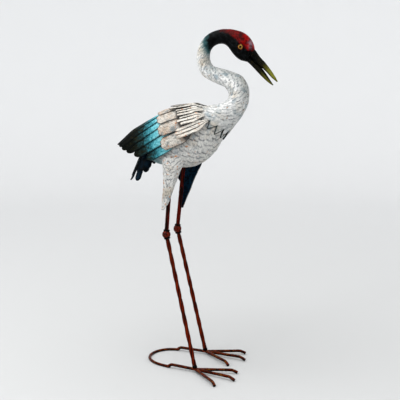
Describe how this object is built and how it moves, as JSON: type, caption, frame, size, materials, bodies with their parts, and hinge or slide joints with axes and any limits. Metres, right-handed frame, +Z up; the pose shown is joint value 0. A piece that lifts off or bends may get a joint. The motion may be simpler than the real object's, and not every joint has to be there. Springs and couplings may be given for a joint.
{
  "type": "metal garden statue",
  "caption": "Standing crane of painted sheet metal with layered wing feathers, a bent neck, twisted rod legs, wire toes and a floor hoop, made to stand in a garden.",
  "frame": {"origin": "on the floor, under the middle of the bird's box", "axes": "+X the way the bill points, +Y the bird's left, +Z up"},
  "size_m": [0.4844, 0.3238, 0.9995],
  "materials": {
    "white": "hammered sheet, off-white paint with washes of blue-grey and orange",
    "black": "satin black paint with a red crown",
    "teal": "satin turquoise paint that fades to black at the tips",
    "navy": "satin blue-black paint",
    "rust": "red-brown and black lacquer over steel",
    "olive": "satin olive paint, black at the root",
    "amber": "glossy enamel with a black pupil"
  },
  "bodies": {
    "root": {"body_shell": "white", "covert_1_left": "white", "covert_1_right": "white", "covert_2_left": "white", "covert_2_right": "white", "covert_3_left": "white", "covert_3_right": "white", "covert_4_left": "white", "covert_4_right": "white", "eye_left": "amber", "eye_right": "amber", "flight_feather_1_left": "teal", "flight_feather_1_right": "teal", "flight_feather_2_left": "teal", "flight_feather_2_right": "teal", "flight_feather_3_left": "teal", "flight_feather_3_right": "teal", "flight_feather_4_left": "teal", "flight_feather_4_right": "teal", "flight_feather_5_left": "teal", "flight_feather_5_right": "teal", "flight_feather_6_left": "teal", "flight_feather_6_right": "teal", "head": "black", "heel_hoop": "rust", "knee_ball_left": "rust", "knee_ball_right": "rust", "lower_bill": "olive", "lower_leg_left": "rust", "lower_leg_right": "rust", "neck": "white", "scapular_1_left": "white", "scapular_1_right": "white", "scapular_2_left": "white", "scapular_2_right": "white", "scapular_3_left": "white", "scapular_3_right": "white", "scapular_4_left": "white", "scapular_4_right": "white", "tail_feather_1_left": "navy", "tail_feather_1_right": "navy", "tail_feather_2_left": "navy", "tail_feather_2_right": "navy", "tail_feather_3_left": "navy", "tail_feather_3_right": "navy", "tail_feather_middle": "navy", "thigh_left": "white", "thigh_right": "white", "toe_1_left": "rust", "toe_1_right": "rust", "toe_2_left": "rust", "toe_2_right": "rust", "toe_3_left": "rust", "toe_3_right": "rust", "toe_hind_left": "rust", "toe_hind_right": "rust", "upper_bill": "olive", "upper_leg_left": "rust", "upper_leg_right": "rust"}
  },
  "joints": []
}
